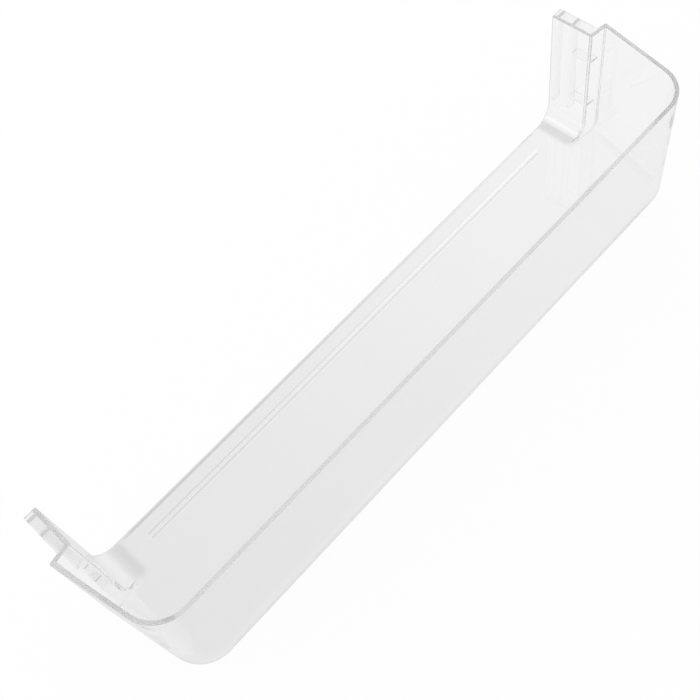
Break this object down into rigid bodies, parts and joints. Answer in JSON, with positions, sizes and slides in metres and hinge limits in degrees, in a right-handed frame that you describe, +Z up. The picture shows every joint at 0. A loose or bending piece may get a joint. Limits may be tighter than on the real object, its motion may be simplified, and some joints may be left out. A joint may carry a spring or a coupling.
{
  "type": "fridge door shelf",
  "caption": "Clear moulded fridge door shelf: a long open-backed tray with rounded front corners and a ribbed, capped hook tab at each end that drops over the door liner's lugs.",
  "frame": {"origin": "middle of the length and of the depth, on the flat underside of the floor", "axes": "+X along the length to the right-hand end as seen from the front, +Y from the front wall to the open rear that faces the door, +Z up"},
  "size_m": [0.4496, 0.1, 0.095],
  "materials": {
    "clear_plastic": "clear, polished"
  },
  "bodies": {
    "root": {"door_shelf": "clear_plastic"}
  },
  "joints": []
}
